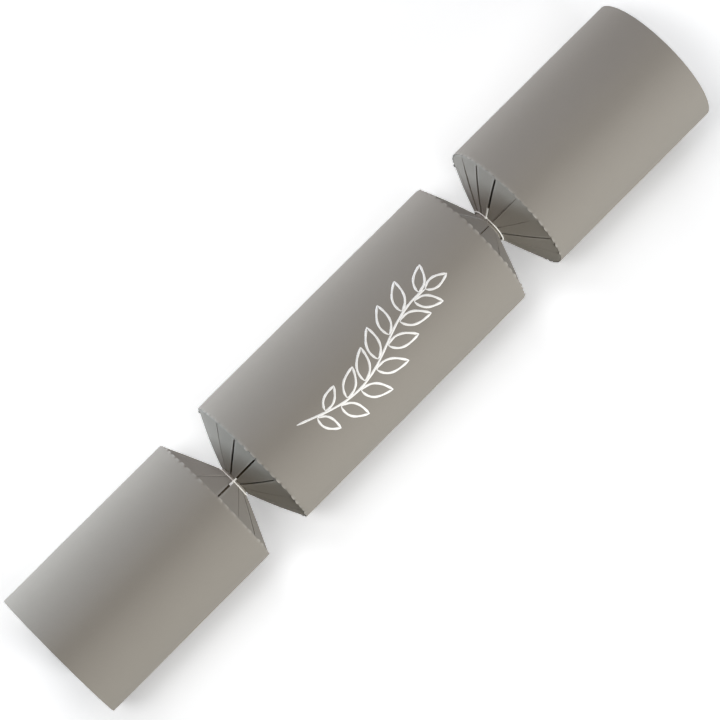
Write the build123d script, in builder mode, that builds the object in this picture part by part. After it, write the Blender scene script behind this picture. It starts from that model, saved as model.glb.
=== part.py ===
from build123d import *
import os
from math import acos, atan2, cos, degrees, hypot, pi, radians, sin, sqrt

# A card cracker: three rolled barrels joined by two slit necks, each tied at its waist with thread,
# with a snap running through both waists and the usual contents in the middle barrel.
# X runs along the cracker and Z is up. The origin is in the middle of the flat lap it rests on.

# Card barrels
card = 0.45  # thickness of the board
barrel_radius = 27.0  # outside of a rolled barrel
centre_length = 110.0
end_length = 76.5
neck_length = 18.5  # between the creased edges of neighbouring barrels

# Glued lap along the underside of each barrel
lap_width = 14.0  # the flat that the overlap makes
seam_gap = 1.0  # between the cut edge of the lap and the wall beside it
flap_setback = 2.0  # from the end of the flat to the edge of the flap inside
tape_thickness = 0.1
tape_margin = 1.5  # from the edge of the flap to the edge of the tape

# Slit necks
petal_count = 16
waist_radius = 6.6  # outside of the petal tips
waist_gap = 1.2  # between the tips of facing petals
crease_gap = 0.05  # between a barrel's edge and the foot of its petals
slit_at_crease = 0.25
slit_at_waist = 0.7

# Tie threads
thread_diameter = 0.4
thread_offset = 0.15  # from the plane of the petal tips, towards the waist
thread_clearance = 0.1  # between thread and petals
thread_end_gap = 0.6  # between the two ends of the loop, inside the knot
knot_diameter = 0.8
tail_length = 4.0
knot_slits = {"left": 0, "right": 1}  # slits counted from the top one, towards +Y

# Snap: two strips that lap in the middle, inside a paper sleeve
snap_thickness = 0.3
snap_overlap = 30.0
snap_inset = 6.0  # from a barrel's mouth to the end of its strip
snap_side_gap = 0.28  # between a strip's edge and the petal tips
snap_corner = 1.0
snap_layer_gap = 0.4  # between the two strips
patch_length = 7.0
patch_offset = 4.0  # from the middle of the snap to the middle of a patch
patch_thickness = 0.15
patch_margin = 1.5  # from a strip's edge to the edge of its patch
sleeve_length = 22.0
sleeve_wall = 0.15
sleeve_clearance = 0.1

# Contents
content_clearance = 0.15
crown_length = 62.0
crown_inset = 5.0  # from the left edge of the middle barrel
crown_paper = 0.8  # folded tissue
crown_layer_spacing = 1.2  # from one turn to the next
crown_core = 2.0  # radius of the innermost half turn
crown_turns = 4
band_width = 8.0
band_wall = 0.3
motto_length = 52.0
motto_paper = 0.2
motto_layer_spacing = 0.7
motto_core = 2.0
motto_turns = 3
die_size = 12.0
die_rounding = 1.2
die_spacing = 14.5  # from the middle of one die to the next
gift_gap = 2.0  # from the end of the crown to the first die
pip_radius = 0.9
pip_depth = 0.5
pip_spacing = 3.0

os.makedirs("parts", exist_ok=True)

# The lap is a chord of the barrel, so the axis stands a little lower than a full radius.
axis_height = sqrt(barrel_radius**2 - (lap_width / 2) ** 2)
cracker_axis = Axis((0, 0, axis_height), (1, 0, 0))
flap_floor = card + tape_thickness
content_floor = flap_floor + card
waist_place = centre_length / 2 + neck_length / 2
mouth_place = centre_length / 2 + neck_length + end_length
sides = (("left", -1), ("right", 1))

# A petal's slope, and the wall it shows when cut square to the cracker's axis
petal_run = neck_length / 2 - crease_gap - waist_gap / 2
petal_rise = barrel_radius - waist_radius
petal_slope = hypot(petal_run, petal_rise)
petal_wall = card * petal_slope / petal_run / cos(pi / petal_count)
slope_axial = petal_run / petal_slope
slope_radial = petal_rise / petal_slope
slit_turn = 360 / petal_count


def finish(piece, name):
    """Label a finished piece and write it out."""
    piece.label = name
    export_step(piece, f"parts/{name}.step")


# Cross-section of a barrel: one sheet that goes round once and runs on inside itself as a flat flap.
lap_end = lap_width / 2
flap_edge = lap_end - flap_setback
with BuildSketch() as barrel_outline:
    with BuildLine():
        ThreePointArc((-lap_end, 0), (0, axis_height + barrel_radius), (lap_end, 0))
        Line((lap_end, 0), (-lap_end, 0))
    make_face()
with BuildSketch() as flap_section:
    add(barrel_outline.sketch)
    with Locations((flap_edge, flap_floor)):
        Rectangle(barrel_radius, card, align=(Align.MAX, Align.MIN), mode=Mode.INTERSECT)
with BuildSketch() as wrap_section:
    add(barrel_outline.sketch)
    offset(amount=-card, kind=Kind.INTERSECTION, mode=Mode.SUBTRACT)
    add(flap_section.sketch)
    with Locations((-lap_end, 0)):
        Rectangle(seam_gap, flap_floor, align=Align.MIN, mode=Mode.SUBTRACT)

barrels = (
    ("left_end", -mouth_place, end_length),
    ("centre", -centre_length / 2, centre_length),
    ("right_end", mouth_place - end_length, end_length),
)
for name, start, length in barrels:
    with BuildPart() as barrel:
        with BuildSketch(Plane.YZ.offset(start)):
            add(wrap_section.sketch)
        extrude(amount=length)
    finish(barrel.part, f"{name}_barrel")

    tape_left = -lap_end + seam_gap + tape_margin
    tape_right = flap_edge - tape_margin
    with BuildPart() as tape:
        with BuildSketch(Plane.YZ.offset(start)):
            with Locations((tape_left, card)):
                Rectangle(tape_right - tape_left, tape_thickness, align=Align.MIN)
        extrude(amount=length)
    finish(tape.part, f"{name}_seam_tape")


def petal_ring(crease, tip):
    """Make one cone of flat petals, from the crease plane to the plane of the tips."""
    with BuildPart() as petals:
        for shrink, mode in ((0, Mode.ADD), (petal_wall, Mode.SUBTRACT)):
            for place, radius in ((crease, barrel_radius), (tip, waist_radius)):
                with BuildSketch(Plane.YZ.offset(place)):
                    with Locations((0, axis_height)):
                        RegularPolygon(radius - shrink, petal_count, rotation=90)
            loft(ruled=True, mode=mode)
        with BuildSketch(Plane.XY.offset(axis_height)):
            Polygon(
                (crease, -slit_at_crease / 2),
                (crease, slit_at_crease / 2),
                (tip, slit_at_waist / 2),
                (tip, -slit_at_waist / 2),
                align=None,
            )
        slit = extrude(amount=barrel_radius, mode=Mode.PRIVATE)
        slits = [slit.rotate(cracker_axis, slit_turn * number) for number in range(petal_count)]
        add(slits, mode=Mode.SUBTRACT)
        split(bisect_by=Plane.XY.offset(crease_gap), keep=Keep.TOP)
    return petals


def neck_point(waist, away, along, lift):
    """Give a point over the top slit: along the petal from its tip, and lifted off its face."""
    axial = waist_gap / 2 + along * slope_axial - lift * slope_radial
    radial = waist_radius + along * slope_radial + lift * slope_axial
    return (waist + away * axial, 0, axis_height + radial)


thread_lift = thread_diameter / 2 + thread_clearance
thread_radius = waist_radius + (thread_lift - thread_offset * slope_radial) / slope_axial
knot_lift = knot_diameter / 2 + thread_clearance
knot_offset = (knot_lift - (thread_radius - waist_radius) * slope_axial) / slope_radial
loop_opening = 2 * degrees(thread_end_gap / 2 / thread_radius)


def tie_thread(waist, away):
    """Make the loop round a waist, with its knot over the top slit and its tail up that slit."""
    loop_place = waist + away * (waist_gap / 2 - thread_offset)
    knot_place = (waist + away * (waist_gap / 2 - knot_offset), 0, axis_height + thread_radius)
    tail_end = neck_point(waist, away, tail_length, thread_lift)
    with BuildPart() as tie:
        with BuildLine(Plane.YZ.offset(loop_place)):
            loop = CenterArc((0, axis_height), thread_radius, 90 + loop_opening / 2, 360 - loop_opening)
        with BuildSketch(Plane(loop @ 0, z_dir=loop % 0)):
            Circle(thread_diameter / 2)
        sweep()
        with BuildLine():
            tail = Line(knot_place, tail_end)
        with BuildSketch(Plane(tail @ 0, z_dir=tail % 0)):
            Circle(thread_diameter / 2)
        extrude(amount=tail.length)
        with Locations(knot_place):
            Sphere(knot_diameter / 2)
    return tie


for side, away in sides:
    waist = away * waist_place
    for role, reach in (("inner", -away), ("outer", away)):
        crease = waist + reach * (neck_length / 2 - crease_gap)
        tip = waist + reach * waist_gap / 2
        petals = petal_ring(crease, tip)
        finish(petals.part, f"{side}_{role}_petals")
    tie = tie_thread(waist, away)
    finish(tie.part.rotate(cracker_axis, -slit_turn * knot_slits[side]), f"{side}_tie_thread")
loop_gap = 2 * thread_radius * sin(radians(loop_opening / 2))
print(f"tie threads: the ends of a loop are {loop_gap:.2f} mm apart, inside the knot")

# Snap strips lie flat through the waists, the left one over the right one.
waist_bore = (waist_radius - petal_wall) * cos(pi / petal_count)
strip_reach = snap_layer_gap / 2 + snap_thickness
strip_width = 2 * sqrt((waist_bore - snap_side_gap) ** 2 - strip_reach**2)
strip_length = mouth_place - snap_inset + snap_overlap / 2
patch_width = strip_width - 2 * patch_margin
strip_floors = {"left": axis_height + snap_layer_gap / 2, "right": axis_height - strip_reach}
patch_floors = {
    "left": axis_height + snap_layer_gap / 2 - patch_thickness,
    "right": axis_height - snap_layer_gap / 2,
}
patch_names = {"left": "snap_compound", "right": "snap_grit"}
for side, away in sides:
    with BuildPart() as strip:
        with BuildSketch(Plane.XY.offset(strip_floors[side])):
            with Locations((away * (strip_length - snap_overlap) / 2, 0)):
                RectangleRounded(strip_length, strip_width, snap_corner)
        extrude(amount=snap_thickness)
    finish(strip.part, f"{side}_snap_strip")

    with BuildPart() as patch:
        with BuildSketch(Plane.XY.offset(patch_floors[side])):
            with Locations((-away * patch_offset, 0)):
                RectangleRounded(patch_length, patch_width, snap_corner)
        extrude(amount=patch_thickness)
    finish(patch.part, patch_names[side])

sleeve_width = strip_width + 2 * sleeve_clearance
sleeve_height = 2 * (strip_reach + sleeve_clearance)
with BuildPart() as sleeve:
    with BuildSketch(Plane.YZ.offset(-sleeve_length / 2)):
        with Locations((0, axis_height)):
            Rectangle(sleeve_width + 2 * sleeve_wall, sleeve_height + 2 * sleeve_wall)
            Rectangle(sleeve_width, sleeve_height, mode=Mode.SUBTRACT)
    extrude(amount=sleeve_length)
finish(sleeve.part, "snap_sleeve")


def roll_outside(core, spacing, turns, paper):
    """Give the outside radius of a roll, about the centre of its last half turn."""
    return core + spacing * (turns - 0.5) + paper / 2


def rolled_sheet(start, length, centre, core, spacing, turns, paper):
    """Make a sheet rolled up on itself: half turns about two centres, each wider than the last."""
    across, height = centre
    with BuildPart() as roll:
        with BuildSketch(Plane.YZ.offset(start)):
            with BuildLine():
                for half in range(2 * turns):
                    lower = half % 2
                    shift = 0 if lower else -spacing / 2
                    CenterArc((across + shift, height), core + spacing / 2 * half, 180 * lower, 180)
            trace(line_width=paper)
        extrude(amount=length)
    return roll


# The crown lies on the flap, inside its band, and the motto lies against it and the wall.
flap_middle = flap_edge - lap_width / 2
crown_start = crown_inset - centre_length / 2
crown_outside = roll_outside(crown_core, crown_layer_spacing, crown_turns, crown_paper)
band_bore = crown_outside + content_clearance
band_radius = band_bore + band_wall
crown_centre = (flap_middle, content_floor + content_clearance + band_radius)
crown = rolled_sheet(
    crown_start,
    crown_length,
    crown_centre,
    crown_core,
    crown_layer_spacing,
    crown_turns,
    crown_paper,
)
finish(crown.part, "paper_crown")

with BuildPart() as crown_band:
    with BuildSketch(Plane.YZ.offset(crown_start + (crown_length - band_width) / 2)):
        with Locations(crown_centre):
            Circle(band_radius)
            Circle(band_bore, mode=Mode.SUBTRACT)
    extrude(amount=band_width)
finish(crown_band.part, "crown_band")

motto_outside = roll_outside(motto_core, motto_layer_spacing, motto_turns, motto_paper)
motto_orbit = barrel_radius - card - motto_outside - content_clearance
crown_orbit = hypot(crown_centre[0], axis_height - crown_centre[1])
crown_angle = atan2(crown_centre[0], axis_height - crown_centre[1])
nearest = band_radius + motto_outside + content_clearance
between = acos((crown_orbit**2 + motto_orbit**2 - nearest**2) / (2 * crown_orbit * motto_orbit))
motto_angle = crown_angle + between
motto_centre = (motto_orbit * sin(motto_angle), axis_height - motto_orbit * cos(motto_angle))
motto_start = crown_start + (crown_length - motto_length) / 2
motto = rolled_sheet(
    motto_start,
    motto_length,
    motto_centre,
    motto_core,
    motto_layer_spacing,
    motto_turns,
    motto_paper,
)
finish(motto.part, "motto_slip")

# Two dice for a gift, side by side on the flap. Opposite faces add up to seven.
pip_spots = {
    1: [(0, 0)],
    2: [(-1, -1), (1, 1)],
    3: [(-1, -1), (0, 0), (1, 1)],
    4: [(-1, -1), (-1, 1), (1, -1), (1, 1)],
    5: [(-1, -1), (-1, 1), (0, 0), (1, -1), (1, 1)],
    6: [(-1, -1), (-1, 0), (-1, 1), (1, -1), (1, 0), (1, 1)],
}
die_faces = (
    ((0, 0, 1), 6),
    ((0, 0, -1), 1),
    ((1, 0, 0), 5),
    ((-1, 0, 0), 2),
    ((0, 1, 0), 4),
    ((0, -1, 0), 3),
)
first_die = crown_start + crown_length + gift_gap + die_size / 2
for name, place in (("first_gift_die", first_die), ("second_gift_die", first_die + die_spacing)):
    middle = Vector(place, flap_middle, content_floor + die_size / 2)
    with BuildPart() as die:
        with Locations(middle):
            Box(die_size, die_size, die_size)
        fillet(die.edges(), die_rounding)
        for normal, pips in die_faces:
            face_plane = Plane(middle + Vector(normal) * (die_size / 2), z_dir=normal)
            with BuildSketch(face_plane):
                with Locations(*[(pip_spacing * u, pip_spacing * v) for u, v in pip_spots[pips]]):
                    Circle(pip_radius)
            extrude(amount=-pip_depth, mode=Mode.SUBTRACT)
    finish(die.part, name)
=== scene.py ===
import logging
import math
import random
from dataclasses import dataclass, field
from enum import Enum
from typing import Callable, Sequence, Union

import bpy
from mathutils import Matrix, Vector, noise


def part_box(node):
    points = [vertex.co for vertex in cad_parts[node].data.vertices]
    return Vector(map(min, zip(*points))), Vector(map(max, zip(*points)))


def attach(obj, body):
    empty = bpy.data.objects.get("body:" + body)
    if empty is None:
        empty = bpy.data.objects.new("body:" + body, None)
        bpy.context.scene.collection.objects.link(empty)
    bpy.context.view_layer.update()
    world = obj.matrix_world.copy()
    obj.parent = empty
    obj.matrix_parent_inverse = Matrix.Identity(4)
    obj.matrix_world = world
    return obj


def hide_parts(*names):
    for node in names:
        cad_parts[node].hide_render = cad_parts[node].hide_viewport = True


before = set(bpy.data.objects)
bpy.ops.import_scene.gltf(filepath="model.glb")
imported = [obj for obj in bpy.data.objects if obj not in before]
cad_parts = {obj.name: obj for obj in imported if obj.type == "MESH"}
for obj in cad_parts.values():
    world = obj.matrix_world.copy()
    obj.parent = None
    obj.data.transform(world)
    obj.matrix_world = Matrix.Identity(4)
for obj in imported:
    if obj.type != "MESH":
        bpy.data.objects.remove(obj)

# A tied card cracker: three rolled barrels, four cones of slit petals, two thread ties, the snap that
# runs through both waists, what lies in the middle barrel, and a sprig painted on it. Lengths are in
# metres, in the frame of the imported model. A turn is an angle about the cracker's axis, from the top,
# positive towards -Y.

MM = 0.001
PHOTO_WIDTH = 720
SENSOR = 36.0
SHARP_ANGLE = math.radians(40.0)
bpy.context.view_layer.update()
LOG = logging.getLogger("cracker")

Colour = tuple[float, float, float]
Value = Union["Socket", float]


class Side(Enum):
    """The two ends of the cracker, with the way that each is pulled along X."""

    LEFT = -1
    RIGHT = 1

    @property
    def word(self) -> str:
        """Give the side's word in the names of pieces."""
        return self.name.lower()


class Slot(Enum):
    """The record's finish names that are passed along with the drawn pieces."""

    CARD = "grey_card"
    THREAD = "white_thread"
    TISSUE = "tissue"
    MOTTO = "motto_paper"


def smooth_step(low: float, high: float, value: float) -> float:
    """Ease from 0 at low to 1 at high.

    Args:
        low: Where the step starts.
        high: Where the step ends.
        value: The place to read.

    Returns:
        A number from 0 to 1.
    """
    share = min(max((value - low) / (high - low), 0.0), 1.0)
    return share * share * (3.0 - 2.0 * share)


# Shader maths


@dataclass
class Socket:
    """One output of a node, which takes part in Python expressions."""

    graph: "Graph"
    link: bpy.types.NodeSocket

    def __add__(self, other: Value) -> "Socket":
        """Add a value."""
        return self.graph.maths("ADD", self, other)

    def __radd__(self, other: Value) -> "Socket":
        """Add to a value."""
        return self.graph.maths("ADD", other, self)

    def __sub__(self, other: Value) -> "Socket":
        """Subtract a value."""
        return self.graph.maths("SUBTRACT", self, other)

    def __rsub__(self, other: Value) -> "Socket":
        """Subtract from a value."""
        return self.graph.maths("SUBTRACT", other, self)

    def __mul__(self, other: Value) -> "Socket":
        """Multiply by a value."""
        return self.graph.maths("MULTIPLY", self, other)

    def __rmul__(self, other: Value) -> "Socket":
        """Multiply a value."""
        return self.graph.maths("MULTIPLY", other, self)

    def __truediv__(self, other: Value) -> "Socket":
        """Divide by a value."""
        return self.graph.maths("DIVIDE", self, other)

    def __rtruediv__(self, other: Value) -> "Socket":
        """Divide a value."""
        return self.graph.maths("DIVIDE", other, self)

    def __gt__(self, other: Value) -> "Socket":
        """Give 1 where this is greater than a value."""
        return self.graph.maths("GREATER_THAN", self, other)

    def __lt__(self, other: Value) -> "Socket":
        """Give 1 where this is less than a value."""
        return self.graph.maths("LESS_THAN", self, other)

    def __abs__(self) -> "Socket":
        """Give the size of the value."""
        return self.graph.maths("ABSOLUTE", self)

    def clamped(self) -> "Socket":
        """Hold the value between 0 and 1."""
        node = self.graph.node("ShaderNodeClamp", {}, {"Value": self})
        return Socket(self.graph, node.outputs["Result"])


class Graph:
    """The nodes of one material or world."""

    def __init__(self, tree: bpy.types.NodeTree) -> None:
        """Start from an empty tree."""
        tree.nodes.clear()
        self.tree = tree

    def node(self, kind: str, settings: dict, inputs: dict) -> bpy.types.Node:
        """Add a node.

        Args:
            kind: The node's type.
            settings: Properties that are set before the sockets.
            inputs: Values or links, by the name or number of the socket.

        Returns:
            The new node.
        """
        made = self.tree.nodes.new(kind)
        for name, value in settings.items():
            setattr(made, name, value)
        for name, value in inputs.items():
            if isinstance(value, Socket):
                self.tree.links.new(value.link, made.inputs[name])
            elif isinstance(value, bpy.types.NodeSocket):
                self.tree.links.new(value, made.inputs[name])
            else:
                made.inputs[name].default_value = value
        return made

    def maths(self, operation: str, *values: Value) -> Socket:
        """Add a Math node over values."""
        made = self.node("ShaderNodeMath", {"operation": operation}, dict(enumerate(values)))
        return Socket(self, made.outputs[0])

    def mix(self, share: Value, first: Union[Socket, Colour], second: Union[Socket, Colour]) -> Socket:
        """Mix two colours.

        Args:
            share: How much of the second colour shows.
            first: The colour at a share of 0.
            second: The colour at a share of 1.

        Returns:
            The mixed colour.
        """
        ends = [end if isinstance(end, Socket) else (*end, 1.0) for end in (first, second)]
        made = self.node("ShaderNodeMix", {"data_type": "RGBA"}, {0: share, 6: ends[0], 7: ends[1]})
        return Socket(self, made.outputs[2])

    def place(self) -> Socket:
        """Give the place on the piece, in metres, which moves with the piece."""
        return Socket(self, self.node("ShaderNodeTexCoord", {}, {}).outputs["Object"])

    def vector_maths(self, operation: str, vector: Socket, numbers: Colour) -> Socket:
        """Add a Vector Math node over a vector and a number for each axis."""
        made = self.node("ShaderNodeVectorMath", {"operation": operation}, {0: vector, 1: numbers})
        return Socket(self, made.outputs[0])

    def parts(self, vector: Socket) -> tuple[Socket, Socket, Socket]:
        """Split a vector into its three values."""
        made = self.node("ShaderNodeSeparateXYZ", {}, {0: vector})
        return tuple(Socket(self, made.outputs[axis]) for axis in range(3))

    def cloud(self, place: Socket, size: float, detail: float = 2.0, roughness: float = 0.5) -> Socket:
        """Add soft noise about zero.

        Args:
            place: Where the noise is read.
            size: The width of one cloud, in the units of the place.
            detail: How many finer layers are added.
            roughness: How strong the finer layers are.

        Returns:
            A value from about -0.5 to 0.5.
        """
        inputs = {"Vector": place, "Scale": 1.0 / size, "Detail": detail, "Roughness": roughness}
        return Socket(self, self.node("ShaderNodeTexNoise", {}, inputs).outputs["Fac"]) - 0.5

    def cells(self, place: Socket, size: float) -> Socket:
        """Give the distance to the nearest of scattered points, in widths of a cell."""
        inputs = {"Vector": place, "Scale": 1.0 / size}
        return Socket(self, self.node("ShaderNodeTexVoronoi", {}, inputs).outputs["Distance"])

    def attribute(self, name: str) -> Socket:
        """Read a value that the mesh holds at its points."""
        made = self.node("ShaderNodeAttribute", {"attribute_name": name}, {})
        return Socket(self, made.outputs["Fac"])

    def camera_rays(self) -> Socket:
        """Tell what the camera sees, also in gloss or through glass, from other light.

        Returns:
            1 for a ray that leads to the camera, and 0 for any other.
        """
        path = self.node("ShaderNodeLightPath", {}, {})
        direct = Socket(self, path.outputs["Is Camera Ray"])
        for name in ("Is Glossy Ray", "Is Transmission Ray"):
            direct = self.maths("MAXIMUM", direct, Socket(self, path.outputs[name]))
        return direct

    def bump(self, height: Socket, depth: float) -> Socket:
        """Turn a height into a bumped normal.

        Args:
            height: The height, about 0 to 1.
            depth: The real depth of one unit of height.

        Returns:
            The normal.
        """
        inputs = {"Strength": 1.0, "Distance": depth, "Height": height}
        return Socket(self, self.node("ShaderNodeBump", {}, inputs).outputs["Normal"])

    def surface(self, **inputs: object) -> None:
        """Finish the tree with one principled surface.

        Args:
            inputs: Values or links, by the names of the sockets with _ for spaces.
        """
        named = {name.replace("_", " "): value for name, value in inputs.items()}
        shader = self.node("ShaderNodeBsdfPrincipled", {}, named)
        self.node("ShaderNodeOutputMaterial", {}, {"Surface": shader.outputs["BSDF"]})


# Finishes


@dataclass(frozen=True)
class Finish:
    """A finish that is made once and shared by the pieces that have it."""

    name: str

    def draw(self, graph: Graph) -> None:
        """Draw the finish's nodes."""
        raise NotImplementedError

    def material(self) -> bpy.types.Material:
        """Give the finish's material, made at the first call.

        Returns:
            The material.
        """
        made = bpy.data.materials.get(self.name)
        if made is None:
            made = bpy.data.materials.new(self.name)
            made.use_nodes = True
            self.draw(Graph(made.node_tree))
        return made


@dataclass(frozen=True)
class PaperFinish(Finish):
    """Paper or board: clouded pulp, fine fibres, and a paler colour where the mesh marks frayed cut edges
    and painted highlights on lit edges and folds.
    """

    colour: Colour
    wear_and_highlight_colour: Colour
    pulp: float = 0.05
    pulp_size: float = 9.0 * MM
    fibre: float = 0.08
    fibre_size: float = 0.5 * MM
    fibre_stretch: Colour = (0.35, 1.0, 1.0)
    contrast: float = 8.0
    fleck: float = 0.4
    fleck_share: float = 0.2
    grain_depth: float = 0.02 * MM
    wear_and_highlight_hold: float = 0.85
    roughness: float = 0.86
    rough_vary: float = 0.16
    specular: float = 0.3
    sheen: float = 0.0

    def draw(self, graph: Graph) -> None:
        """Draw clouded pulp under fibres, and the paler colour of frayed edges and painted highlights that
        the mesh marks.

        Args:
            graph: The tree that takes the nodes.
        """
        place = graph.place()
        pulp = graph.cloud(place, self.pulp_size, detail=3.0)
        along = graph.vector_maths("MULTIPLY", place, self.fibre_stretch)
        fibre = graph.cloud(along, self.fibre_size, detail=3.0, roughness=0.65)
        fleck = graph.cloud(place, self.fleck_share * self.fibre_size)
        level = 0.5 + pulp * (self.pulp * self.contrast) + fibre * (self.fibre * self.contrast)
        dark = tuple(part * (1.0 - self.pulp - self.fibre) for part in self.colour)
        light = tuple(min(part * (1.0 + self.pulp + self.fibre), 1.0) for part in self.colour)
        body = graph.mix(level.clamped(), dark, light)
        # The mesh's mark pales the card: partly real frayed fibres, partly a painted highlight on lit cut
        # edges and folds.
        wear_and_highlight = (graph.attribute("wear_and_highlight") * (self.wear_and_highlight_hold + fibre)).clamped()
        graph.surface(
            Base_Color=graph.mix(wear_and_highlight, body, self.wear_and_highlight_colour),
            Roughness=(self.roughness + fibre * self.rough_vary).clamped(),
            Normal=graph.bump(fibre + self.fleck * fleck, self.grain_depth),
            Specular_IOR_Level=self.specular,
            Sheen_Weight=self.sheen,
        )


@dataclass(frozen=True)
class ThreadFinish(Finish):
    """Spun cotton: fine filaments along the ply, a little dust, and a soft fuzz."""

    colour: Colour
    dust: Colour
    dust_level: float = 0.35
    dust_share: float = 0.4
    dust_size: float = 3.0 * MM
    filament: float = 0.06 * MM
    filament_depth: float = 0.03 * MM
    roughness: float = 0.8
    rough_vary: float = 0.25
    specular: float = 0.25
    fuzz: float = 0.2

    def draw(self, graph: Graph) -> None:
        """Draw filaments as fine uneven lines, and dust in soft patches.

        Args:
            graph: The tree that takes the nodes.
        """
        place = graph.place()
        hair = graph.cloud(place, self.filament, detail=3.0, roughness=0.7)
        soil = (self.dust_level + graph.cloud(place, self.dust_size)).clamped()
        graph.surface(
            Base_Color=graph.mix(soil * self.dust_share, self.colour, self.dust),
            Roughness=(self.roughness + hair * self.rough_vary).clamped(),
            Normal=graph.bump(hair, self.filament_depth),
            Specular_IOR_Level=self.specular,
            Sheen_Weight=self.fuzz,
        )


@dataclass(frozen=True)
class GrainFinish(Finish):
    """A dried paste of grains: powder or grit on a strip."""

    dark: Colour
    light: Colour
    grain: float
    depth: float
    shade_grains: float = 2.4
    contrast: float = 2.2
    hollow: float = 0.3
    roughness: float = 0.72
    rough_vary: float = 0.5
    specular: float = 0.35

    def draw(self, graph: Graph) -> None:
        """Draw scattered grains of several greys, each standing a little proud.

        Args:
            graph: The tree that takes the nodes.
        """
        place = graph.place()
        grains = graph.cells(place, self.grain)
        shade = graph.cloud(place, self.shade_grains * self.grain, detail=4.0, roughness=0.7)
        # The colour darkens between the grains, where the bump sinks.
        level = 0.5 + self.contrast * shade - self.hollow * grains
        graph.surface(
            Base_Color=graph.mix(level.clamped(), self.dark, self.light),
            Roughness=(self.roughness + self.rough_vary * shade).clamped(),
            Normal=graph.bump(1.0 - grains, self.depth),
            Specular_IOR_Level=self.specular,
        )


@dataclass(frozen=True)
class DieFinish(Finish):
    """Moulded ivory plastic, with black paint in the sunk pips."""

    middle: Colour
    half: float
    colour: Colour = (0.83, 0.80, 0.72)
    swirl_shade: float = 0.93
    swirl_size: float = 5.0 * MM
    pip: Colour = (0.012, 0.012, 0.013)
    pip_reach: float = 4.2 * MM
    pip_edge: float = 0.06 * MM
    pip_roughness: float = 0.25
    scuff_size: float = 0.5 * MM
    scuff_depth: float = 0.004 * MM
    scuff_roughness: float = 0.2
    roughness: float = 0.3
    gloss_coat: float = 0.15

    def draw(self, graph: Graph) -> None:
        """Paint what lies below a face, away from the rounded edges.

        Args:
            graph: The tree that takes the nodes.
        """
        place = graph.place()
        local = graph.vector_maths("SUBTRACT", place, self.middle)
        width, depth, height = (abs(part) for part in graph.parts(local))
        most = graph.maths("MAXIMUM", width, graph.maths("MAXIMUM", depth, height))
        least = graph.maths("MINIMUM", width, graph.maths("MINIMUM", depth, height))
        second = width + depth + height - most - least
        painted = (most < self.half - self.pip_edge) * (second < self.pip_reach)
        swirl = graph.cloud(place, self.swirl_size, detail=3.0)
        shaded = tuple(self.swirl_shade * part for part in self.colour)
        body = graph.mix((0.5 + swirl).clamped(), self.colour, shaded)
        scuff = graph.cloud(place, self.scuff_size, detail=4.0, roughness=0.7)
        rough = self.roughness + self.pip_roughness * painted + self.scuff_roughness * scuff
        graph.surface(
            Base_Color=graph.mix(painted, body, self.pip),
            Roughness=rough.clamped(),
            Normal=graph.bump(scuff, self.scuff_depth),
            Coat_Weight=self.gloss_coat,
        )


@dataclass(frozen=True)
class PaintFinish(Finish):
    """Opaque white paint from a marker, a little thin where the stroke ran dry."""

    colour: Colour = (0.97, 0.97, 0.965)
    thin: Colour = (0.80, 0.79, 0.77)
    thin_from: float = 0.08
    thin_contrast: float = 3.0
    thin_share: float = 0.5
    streak_size: float = 0.8 * MM
    streak_depth: float = 0.02 * MM
    roughness: float = 0.5
    rough_vary: float = 0.3
    specular: float = 0.4

    def draw(self, graph: Graph) -> None:
        """Draw streaks of thin paint over an even white.

        Args:
            graph: The tree that takes the nodes.
        """
        streak = graph.cloud(graph.place(), self.streak_size, detail=4.0, roughness=0.65)
        thin = ((streak - self.thin_from) * self.thin_contrast).clamped()
        graph.surface(
            Base_Color=graph.mix(thin * self.thin_share, self.colour, self.thin),
            Roughness=(self.roughness + self.rough_vary * streak).clamped(),
            Normal=graph.bump(streak, self.streak_depth),
            Specular_IOR_Level=self.specular,
        )


@dataclass(frozen=True)
class FloorFinish(Finish):
    """A white sweep: seen directly it is bright enough to read as white away from the shadow."""

    colour: float = 0.35
    seen: float = 1.5
    shadow_reach: float = 210.0 * MM
    fade: float = 120.0 * MM
    mottle: float = 0.01
    mottle_size: float = 40.0 * MM

    def draw(self, graph: Graph) -> None:
        """Draw a matt floor whose paper is brighter to the camera, and more so towards its edge.

        Args:
            graph: The tree that takes the nodes.
        """
        place = graph.place()
        x, y, _ = graph.parts(place)
        far = graph.maths("SQRT", x * x + y * y)
        edge = ((far - self.shadow_reach) / self.fade).clamped()
        mottle = graph.cloud(place, self.mottle_size) * self.mottle
        level = self.colour + (self.seen * (1.0 + edge) - self.colour) * graph.camera_rays() + mottle
        tone = graph.node("ShaderNodeCombineColor", {}, {0: level, 1: level, 2: level})
        shader = graph.node("ShaderNodeBsdfDiffuse", {}, {"Color": tone.outputs[0]})
        graph.node("ShaderNodeOutputMaterial", {}, {"Surface": shader.outputs[0]})


# The card's second colour is the paler tone of its frayed nicks and of the painted highlights on lit edges
# and folds.
CARD = PaperFinish(
    "warm_grey_card", (0.299, 0.279, 0.252), (0.52, 0.505, 0.475), pulp=0.03, fibre=0.045, specular=0.25
)
TAPE = PaperFinish(
    "tissue_tape", (0.74, 0.71, 0.64), (0.8, 0.78, 0.74), fibre_size=0.8 * MM, roughness=0.6
)
SNAP_BOARD = PaperFinish("kraft_strip", (0.30, 0.235, 0.16), (0.45, 0.38, 0.29), pulp=0.08, fibre=0.14)
SNAP_PAPER = PaperFinish("kraft_wrapper", (0.60, 0.50, 0.37), (0.7, 0.64, 0.54), fibre=0.12)
TISSUE = PaperFinish(
    "red_tissue", (0.45, 0.035, 0.04), (0.55, 0.1, 0.1), pulp=0.08, fibre=0.12, roughness=0.7, sheen=0.15
)
BAND = PaperFinish("band_paper", (0.72, 0.69, 0.62), (0.8, 0.78, 0.74))
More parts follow.
